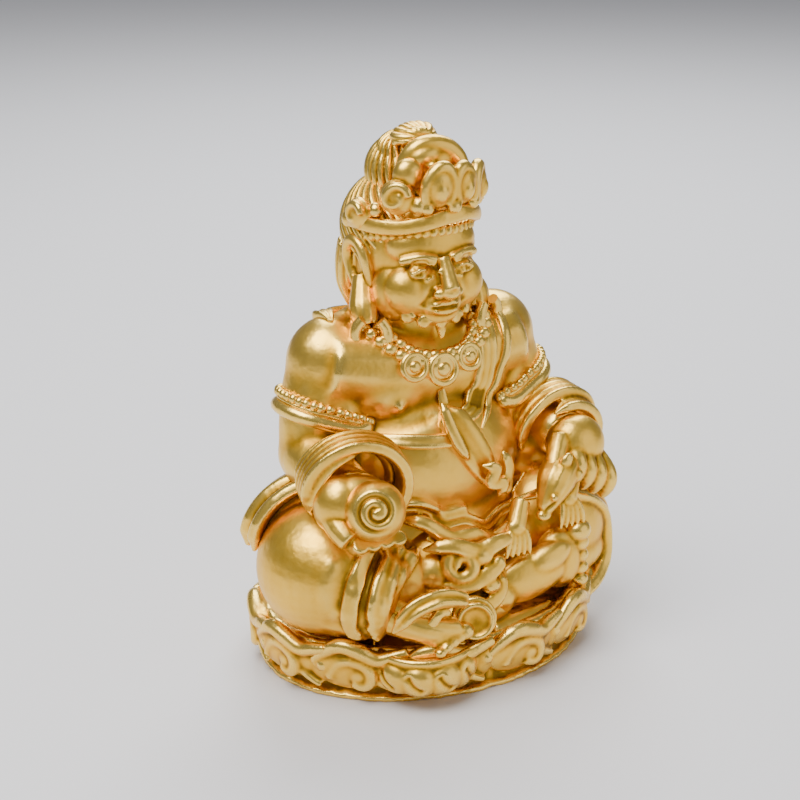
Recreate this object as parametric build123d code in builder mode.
from build123d import *

import os
from math import atan2, cos, degrees, pi, radians, sin, sqrt

# Gilded statuette of a seated, crowned wealth deity on an oval lotus throne.
# Millimetres. The figure faces -Y and its right hand is on the -X side. The
# origin is at the centre of the throne's resting face.
#
# Every sculpted element of the casting is a solid of its own. Each one is cut
# by the elements that it grows out of, so that neighbours meet face to face.

os.makedirs("parts", exist_ok=True)

# ---- driving dimensions -------------------------------------------------
HEIGHT = 100.0  # underside of the throne to the tip of the finial
BASE_RX = 31.5  # half width of the throne's foot
BASE_RY = 24.3  # half depth of the throne's foot
LIP_T = 0.9  # thickness of the thin flange at the very bottom
TRAY_Z = 9.5  # floor of the tray on top of the throne
PETAL_COUNT = 12
PETAL_R = (2.6, 7.4, 5.6)  # half thickness, half width and half height
FOOTREST_C = (-10.5, -19.8)
FOOTREST_R = 9.3
FOOTREST_Z = (4.0, 10.4)  # underside and top of the footrest lotus

KNEE_C = (24.0, -7.0, 23.0)  # on the left; the right one is its mirror image
KNEE_R = 12.0
SHOULDER_C = (18.0, 5.0, 57.5)
SHOULDER_R = 8.6
ELBOW_C = (25.0, 3.0, 43.0)
FRUIT_C = (-20.2, -19.2, 37.8)
FRUIT_R = 5.3

HEAD_C = (0.0, 3.4, 75.4)
HEAD_R = (10.6, 11.6, 11.8)
HAIR_C = (0.0, 7.0, 80.0)
HAIR_R = (12.2, 12.8, 11.4)
BUN_C = (0.0, 8.0, 90.0)
BUN_R = (7.6, 8.2, 7.4)
CROWN_C = (0.0, 4.6, 81.4)
CROWN_R = (12.7, 13.2)
CROWN_TILT = 17.0  # the diadem rises from the nape to the brow

CLOTH_T = 1.5  # thickness of a cloth band that lies on the body

# The bare trunk is a stack of ellipses: height, half width, half depth and
# the centre's Y.
TRUNK = (
    (10.5, 19.0, 14.0, 2.0),
    (22.0, 20.5, 15.0, 1.0),
    (31.0, 20.0, 15.2, 0.8),
    (38.0, 19.0, 14.6, 1.0),
    (46.0, 17.3, 11.9, 1.6),
    (52.0, 18.0, 11.9, 2.4),
    (58.0, 18.0, 10.8, 3.4),
    (63.0, 15.5, 9.4, 4.4),
    (66.5, 10.0, 7.8, 5.0),
    (69.0, 7.0, 6.6, 5.2),
)

SIDES = (("right", -1), ("left", 1))
PETAL_NAMES = [f"throne_petal_{number:02d}" for number in range(1, PETAL_COUNT + 1)]

made = {}  # the finished pieces by name


# ---- shapes that the sculpture is made of --------------------------------
class Egg(BasePartObject):
    """An ellipsoid, placed by its centre.

    The ball is turned before it is stretched, so that its poles, where a cut
    is fragile, lie off the axes.
    """

    def __init__(self, rx, ry, rz, rotation=(0, 0, 0), mode=Mode.ADD):
        ball = Solid.make_sphere(1).rotate(Axis((0, 0, 0), (1, 2, 0.5)), 58)
        ball = ball.scale((rx, ry, rz))
        super().__init__(part=ball, rotation=rotation, mode=mode)


class Limb(BasePartObject):
    """A round bar through the points, with a radius at each of them."""

    def __init__(self, points, widths, mode=Mode.ADD):
        rings = []
        for index, width in enumerate(widths):
            before = Vector(*points[max(index - 1, 0)])
            after = Vector(*points[min(index + 1, len(points) - 1)])
            station = Plane(origin=points[index], z_dir=after - before)
            rings.append(Wire.make_circle(width, station))
        super().__init__(part=Solid.make_loft(rings), mode=mode)


class Hoop(BasePartObject):
    """A ring round the Z axis, with a section made taller by stretch."""

    def __init__(self, major, minor, stretch=1.0, rotation=(0, 0, 0), mode=Mode.ADD):
        hoop = Solid.make_torus(major, minor).scale((1, 1, stretch))
        super().__init__(part=hoop, rotation=rotation, mode=mode)


class Trunk(BasePartObject):
    """The bare trunk, with its skin moved out by proud."""

    def __init__(self, proud=0.0, mode=Mode.ADD):
        rings = []
        for z, rx, ry, y in TRUNK:
            station = Plane(origin=(0, y, z))
            rings.append(Wire.make_ellipse(rx + proud, ry + proud, station))
        super().__init__(part=Solid.make_loft(rings, ruled=True), mode=mode)


def mirrored(point, side):
    """A point of the left side, moved to the given side."""
    return (side * point[0], point[1], point[2])


def on_trunk(x, z, proud=0.0):
    """The point on the trunk's front at a given place, or proud of it."""
    for low, high in zip(TRUNK, TRUNK[1:]):
        if low[0] <= z <= high[0]:
            share = (z - low[0]) / (high[0] - low[0])
            rx, ry, y = (a + (b - a) * share for a, b in zip(low[1:], high[1:]))
    return (x, y - (ry + proud) * sqrt(max(0.0, 1 - (x / rx) ** 2)), z)


def finish(piece, label, *neighbours, loose=False):
    """Cuts a piece to fit its neighbours, names it and writes it.

    A loose node keeps all of its solids. Any other node keeps only its
    largest one, without the crumbs that the cutting leaves.
    """
    with BuildPart() as fitted:
        add(piece.part)
        for neighbour in neighbours:
            add(made[neighbour].part, mode=Mode.SUBTRACT)
    solids = fitted.part.solids().sort_by(SortBy.VOLUME)
    with BuildPart() as whole:
        add(solids if loose else solids[-1])
    whole.part.label = label
    made[label] = whole
    export_step(whole.part, f"parts/{label}.step")


# ---- throne -------------------------------------------------------------
def make_throne():
    """Oval drum with a thin flange at its foot and a shallow tray on top."""
    flange, waist, tray_wall = 0.6, -0.7, 2.4
    with BuildPart() as drum:
        with BuildSketch(Plane.XY):
            Ellipse(BASE_RX + flange, BASE_RY + flange)
        extrude(amount=LIP_T)
        with BuildSketch(Plane.XY.offset(LIP_T)):
            Ellipse(BASE_RX + waist, BASE_RY + waist)
        extrude(amount=TRAY_Z + 1 - LIP_T)
        with BuildSketch(Plane.XY.offset(TRAY_Z)):
            Ellipse(BASE_RX - tray_wall, BASE_RY - tray_wall)
        extrude(amount=2, mode=Mode.SUBTRACT)
    finish(drum, "lotus_throne")


def make_petals():
    """Broad scrolling petals that lean on the drum's side all the way round."""
    petal_z, curl_r = 6.6, 1.7
    for index, name in enumerate(PETAL_NAMES):
        angle = 2 * pi * (index + 0.5) / PETAL_COUNT
        x, y = BASE_RX * cos(angle), BASE_RY * sin(angle)
        outward = degrees(atan2(y / BASE_RY**2, x / BASE_RX**2))
        with BuildPart() as petal:
            with Locations(Location((x, y, petal_z), (0, 0, outward))):
                Egg(*PETAL_R)
                with Locations((2.0, 1.5, -1.2)):
                    Sphere(curl_r)
        finish(petal, name, "lotus_throne", *PETAL_NAMES[:index])


def make_footrest():
    """The small lotus that carries the right foot, ahead of the throne."""
    bottom, top = FOOTREST_Z
    with BuildPart() as disc:
        with Locations((*FOOTREST_C, bottom)):
            Cone(
                FOOTREST_R - 1.7,
                FOOTREST_R,
                top - bottom,
                align=(Align.CENTER, Align.CENTER, Align.MIN),
            )
        fillet(disc.edges().sort_by(Axis.Z)[-1], 0.8)
    finish(disc, "footrest_lotus", "lotus_throne", *PETAL_NAMES)


# ---- trunk, legs and feet ------------------------------------------------
def make_torso():
    with BuildPart() as torso:
        Trunk()
    finish(torso, "torso")


def make_trouser_legs():
    """Ballooning trousers: the right shin reaches forward, the left lies flat."""
    with BuildPart() as right:
        with Locations(mirrored(KNEE_C, -1)):
            Egg(KNEE_R, KNEE_R + 0.5, KNEE_R)
        Limb(((-26, -6, 22), (-21.5, -13, 19.5), (-17, -19, 17.5)), (9.5, 9.6, 7.0))
    finish(right, "right_trouser_leg", "torso", "footrest_lotus")
    with BuildPart() as left:
        with Locations(KNEE_C):
            Egg(KNEE_R, KNEE_R + 0.5, KNEE_R)
        with Locations((17.0, -14.0, 18.5)):
            Egg(11.5, 6.5, 8.0, rotation=(0, -12, 0))
    finish(left, "left_trouser_leg", "torso")


def make_feet():
    """The right foot points forward; the left sole is turned up in its cuff."""
    instep = ((-19.5, -20.5, 17), (-15, -22.5, 15), (-9, -23.5, 14.2), (-4.6, -23.6, 15.4))
    with BuildPart() as right:
        Limb(instep, (3.2, 3.0, 3.2, 2.6))
    finish(right, "right_foot", "right_trouser_leg", "footrest_lotus")
    with BuildPart() as left:
        with Locations((14.0, -19.4, 17.4)):
            Egg(12.4, 3.4, 5.0, rotation=(0, -20, 0))
    finish(left, "left_foot", "left_trouser_leg")


def make_conch():
    """A shell under the right foot, with its round mouth to the front."""
    with BuildPart() as conch:
        Limb(((-3.2, -27, 14.2), (-0.5, -22.6, 15), (2.4, -18, 15.6)), (3.4, 3.9, 2.0))
    finish(conch, "conch_shell", "torso", "right_foot", "footrest_lotus", "left_foot")


def make_lap():
    """The skirt cloth heaped between the legs, and the hem under the belly."""
    with BuildPart() as heap:
        with Locations((1.5, -12.0, 17.5)):
            Egg(14.5, 8.2, 8.6)
    legs = ("right_trouser_leg", "left_trouser_leg")
    below = ("left_foot", "right_foot", "conch_shell", "footrest_lotus", "lotus_throne")
    finish(heap, "lap_cloth", "torso", *legs, *below)
    upper = ((-19, 31.5), (-10, 28.4), (-2, 24.6), (6, 25.2), (13, 26.6), (19, 32))
    lower = ((19, 29), (13, 23), (5, 21.8), (-3, 21.4), (-11, 24), (-19, 27.5))
    make_band("waist_hem", upper + lower, 2.2, "lap_cloth", *legs)


# ---- arms ----------------------------------------------------------------
def make_arms():
    """Both arms hang to the elbow and reach forward over the knees."""
    x, y, z = SHOULDER_C
    forearms = {
        "right": ((-25, 1, 40), (-23.4, -5.5, 38.8), (-20.8, -14, 38.2)),
        "left": ((25.4, 2, 40.4), (26, -3, 40.4), (26, -7.5, 39.5)),
    }
    for name, side in SIDES:
        path = ((16, y, z + 2), (x + 1.5, y - 0.5, z - 3.5), (22.3, 3.8, 50), ELBOW_C, (25.4, 2.4, 37))
        with BuildPart() as arm:
            with Locations(mirrored(SHOULDER_C, side)):
                Egg(SHOULDER_R, SHOULDER_R - 0.4, SHOULDER_R)
            Limb([mirrored(point, side) for point in path], (6.0, 8.0, 7.3, 6.6, 4.6))
            Limb(forearms[name], (5.5, 5.3, 4.4))
        finish(arm, f"{name}_arm", "torso", f"{name}_trouser_leg")


def make_right_hand():
    """A palm that offers a round fruit, with the fingertips under it."""
    with BuildPart() as fruit:
        with Locations(FRUIT_C):
            Sphere(FRUIT_R)
    finish(fruit, "fruit")
    with BuildPart() as palm:
        with Locations((-21.2, -16.4, 36.6)):
            Egg(6.0, 3.6, 6.4)
        for angle in (-36, -12, 12, 36):
            turn = radians(angle)
            with Locations((-21.6 + 6 * sin(turn), -18.5, 32.8 - 1.6 * cos(turn))):
                Egg(1.6, 2.4, 1.6)
    finish(palm, "right_hand", "fruit", "right_arm", "right_trouser_leg", "torso")


def make_left_hand():
    """A fist over a mongoose that hangs head down, with its two front paws."""
    spine = ((25, -11, 37), (20.6, -14.4, 35.2), (17.6, -16.4, 32.4), (15.2, -17.4, 29.2))
    with BuildPart() as animal:
        Limb(spine, (3.0, 3.8, 3.6, 1.7))
        with Locations((8.8, -17.4, 25.4), (21.0, -17.2, 28.4)):
            Egg(2.6, 2.4, 3.4)
    blockers = ("torso", "left_trouser_leg", "lap_cloth", "left_foot")
    finish(animal, "mongoose", *blockers, loose=True)
    with BuildPart() as grip:
        with Locations((26.0, -10.6, 37.8)):
            Egg(6.2, 5.0, 5.2, rotation=(0, 25, 0))
    finish(grip, "left_hand", "mongoose", "left_arm", "torso", "left_trouser_leg")


# ---- cloth ----------------------------------------------------------------
def make_band(label, outline, proud, *neighbours):
    """A cloth band on the trunk's front; the outline is its front view."""
    with BuildPart() as band:
        with BuildSketch(Plane.XZ):
            with BuildLine():
                Spline(*outline, periodic=True)
            make_face()
        extrude(amount=40)
        Trunk(proud, mode=Mode.INTERSECT)
        Trunk(mode=Mode.SUBTRACT)
    finish(band, label, *neighbours)


def make_sashes():
    chest = ((-17.6, 49), (-9, 47.4), (0, 46.6), (6, 47.6), (6.6, 45.2), (0, 43.2), (-9, 43.8), (-17.6, 45.4))
    make_band("chest_band", chest, 1.1, "right_arm")
    right_edge = ((7.4, 66.6), (8.6, 59), (8.4, 53), (5.2, 48.5), (1.6, 45))
    left_edge = ((4, 42.4), (8.4, 45), (12.4, 51), (13, 58), (11.6, 66.4))
    make_band("shoulder_sash", right_edge + left_edge, CLOTH_T, "chest_band", "left_arm")
    down = ((-1.2, 49.4), (0.4, 44), (3.6, 39.2), (6.6, 37.4), (8.6, 31.6))
    back_up = ((11.4, 31), (12.4, 36.4), (9.6, 41.4), (6.2, 45.4), (3.4, 49.4), (0.8, 51.2))
    make_band("sash_tail", down + back_up, 2.6, "shoulder_sash", "chest_band", "waist_hem")


def make_scarves():
    """Scarf loops round the forearms, their tails, and the yoke on the back."""
    loops = (
        ("right", (-21.6, -9.2, 37.8), (-0.15, -0.95, -0.25), 7.2, 2.3, ("right_hand", "fruit", "chest_band")),
        ("left", (25.8, -2.6, 40.4), (0.25, -0.95, -0.15), 6.2, 2.0, ("left_hand",)),
    )
    for name, centre, axis, major, minor, extra in loops:
        with BuildPart(Plane(origin=centre, z_dir=axis)) as loop:
            Hoop(major, minor, 1.4)
        arm = (f"{name}_arm", f"{name}_trouser_leg")
        finish(loop, f"{name}_scarf_loop", "torso", *arm, *extra)
    path = ((24, 3, 36.5), (29.5, 5, 34.6), (33.6, 5.2, 30), (35, 4.2, 24))
    for name, side in SIDES:
        with BuildPart() as tail:
            Limb([mirrored(point, side) for point in path], (2.2, 3.6, 3.2, 1.8))
        arm = (f"{name}_arm", f"{name}_trouser_leg")
        finish(tail, f"{name}_scarf_tail", "torso", *arm, f"{name}_scarf_loop")
    with BuildPart() as yoke:
        with Locations((0, 6, 63.2)):
            Hoop(12.6, 2.2, rotation=(-20, 0, 0))
        with Locations((0, 20, 63)):
            Box(60, 26, 20, mode=Mode.INTERSECT)
    arms = ("right_arm", "left_arm")
    finish(yoke, "back_scarf", "torso", *arms, "shoulder_sash")


# ---- head -----------------------------------------------------------------
def make_head():
    with BuildPart() as head:
        with Locations(HEAD_C):
            Egg(*HEAD_R)
    finish(head, "head", "torso")


def make_ears():
    """Long-lobed ears with a thick hoop in each."""
    for name, side in SIDES:
        with BuildPart() as ear:
            with Locations((side * 11.0, 5.0, 74.6)):
                Egg(1.6, 2.6, 4.4, rotation=(0, 0, side * 20))
            with Locations((side * 11.0, 3.6, 67.0)):
                Egg(1.5, 1.9, 5.2)
        finish(ear, f"{name}_ear", "head", "torso", f"{name}_arm")
        with BuildPart(Plane(origin=(side * 11.2, 2.9, 63.9), z_dir=(side * 0.9, -0.42, 0.1))) as hoop:
            Hoop(3.1, 0.95)
        blockers = ("torso", f"{name}_ear", f"{name}_arm", "head", "shoulder_sash")
        finish(hoop, f"{name}_earring", *blockers)


def make_hair():
    with BuildPart() as cap:
        with Locations(HAIR_C):
            Egg(*HAIR_R)
    finish(cap, "hair_cap", "head", "right_ear", "left_ear")
    with BuildPart() as bun:
        with Locations(BUN_C):
            Egg(*BUN_R)
    finish(bun, "hair_bun", "hair_cap", "head")
    with BuildPart() as nape:
        with Locations((0, 12.6, 71.5)):
            Egg(10.4, 6.6, 8.6)
    arms = ("right_arm", "left_arm")
    blockers = ("hair_cap", "head", "torso", "right_ear", "left_ear", "back_scarf")
    finish(nape, "nape_locks", *blockers, *arms)


def make_beard():
    """A row of small curls along the jaw, one of them under the chin."""
    curl_count, spread = 5, 25
    with BuildPart() as curls:
        for index in range(curl_count):
            turn = radians((index - curl_count // 2) * spread)
            rise = 3.6 * (1 - cos(turn))
            with Locations((8.2 * sin(turn), -0.6 - 6.4 * cos(turn), 66.4 + rise)):
                Egg(1.75, 1.75, 1.6)
    finish(curls, "beard_curls", "head", "torso", loose=True)


def make_crown():
    """Diadem band, five jewelled leaves, a scroll over the brow and a finial."""
    band_h, leaf_gap = 3.0, 48
    tilted = Plane(Location(CROWN_C, (-CROWN_TILT, 0, 0)))
    with BuildPart() as band:
        with BuildSketch(tilted.offset(-band_h / 2)):
            Ellipse(*CROWN_R)
        extrude(amount=band_h)
    finish(band, "crown_band", "head", "hair_cap", "hair_bun", "right_ear", "left_ear")
    names = ("far_right", "right", "front", "left", "far_left")
    for index, name in enumerate(names):
        angle = (index - 2) * leaf_gap
        turn = radians(angle)
        size = (4.6, 2.2, 5.2) if angle == 0 else (3.4, 1.9, 3.9)
        foot = (CROWN_R[0] * sin(turn), -CROWN_R[1] * cos(turn), size[2] - 1.4)
        with BuildPart(tilted) as leaf:
            with Locations(Location(foot, (0, 0, angle))):
                Egg(*size)
        finish(leaf, f"crown_leaf_{name}", "crown_band", "hair_cap", "hair_bun", "head")
    leaves = [f"crown_leaf_{name}" for name in names]
    with BuildPart() as scroll:
        with Locations((0.8, -0.6, 93.6)):
            Egg(6.4, 4.6, 3.8, rotation=(-24, 0, 0))
    finish(scroll, "crown_scroll", *leaves, "crown_band", "hair_bun", "hair_cap", "head")
    with BuildPart() as tip:
        with Locations((0, 4.2, HEIGHT - 2.6)):
            Egg(3.4, 3.2, 2.6)
    finish(tip, "finial", "hair_bun", "crown_scroll")


# ---- jewellery -------------------------------------------------------------
def chain_spots(count, half_width, top_z, drop, proud):
    """Places of the beads of a chain that hangs over the chest."""
    spots = []
    for index in range(count):
        turn = pi * (index / (count - 1) - 0.5)
        spots.append(on_trunk(half_width * sin(turn), top_z - drop * cos(turn), proud))
    return spots


def make_necklaces():
    """A choker of round beads, and a chain of larger beads with medallions.

    The beads stand on the skin, so nothing is cut from them.
    """
    with BuildPart() as inner:
        with Locations(*chain_spots(13, 8.2, 64.6, 4.2, 1.0)):
            Sphere(1.0)
    finish(inner, "inner_necklace", loose=True)
    spots = chain_spots(13, 11.0, 64.8, 6.8, 1.1)
    with BuildPart() as outer:
        with Locations(*spots[:4], *spots[9:]):
            Sphere(1.1)
    finish(outer, "outer_necklace", loose=True)
    medallions = ((-5.0, 58.6, 2.5), (0.4, 57.0, 2.9), (5.4, 59.2, 2.3))
    with BuildPart() as discs:
        for x, z, width in medallions:
            with Locations(on_trunk(x, z, 0.9)):
                Egg(width, 1.1, width, rotation=(0, 0, 2.5 * x))
    finish(discs, "medallions", loose=True)


def make_armlets():
    """A thick band round each upper arm with a row of beads above it."""
    cloth = ("torso", "shoulder_sash", "chest_band")
    bead_count, bead_r, bead_ring, bead_rise = 20, 1.0, 8.3, 1.9
    around = {}
    for name, side in SIDES:
        around[name] = Plane(origin=(side * 22.9, 3.7, 49.0), z_dir=(side * 0.38, -0.06, -1))
        with BuildPart(around[name]) as band:
            Hoop(7.2, 1.3, 1.2)
        finish(band, f"{name}_armlet", f"{name}_arm", *cloth)
    with BuildPart(*(plane.offset(-bead_rise) for plane in around.values())) as beads:
        with PolarLocations(bead_ring, bead_count):
            Sphere(bead_r)
    finish(beads, "armlet_beads", loose=True)


for step in (
    make_throne,
    make_petals,
    make_footrest,
    make_torso,
    make_trouser_legs,
    make_feet,
    make_conch,
    make_lap,
    make_arms,
    make_right_hand,
    make_left_hand,
    make_sashes,
    make_scarves,
    make_head,
    make_ears,
    make_hair,
    make_beard,
    make_crown,
    make_necklaces,
    make_armlets,
):
    step()
print(len(made), "nodes written")
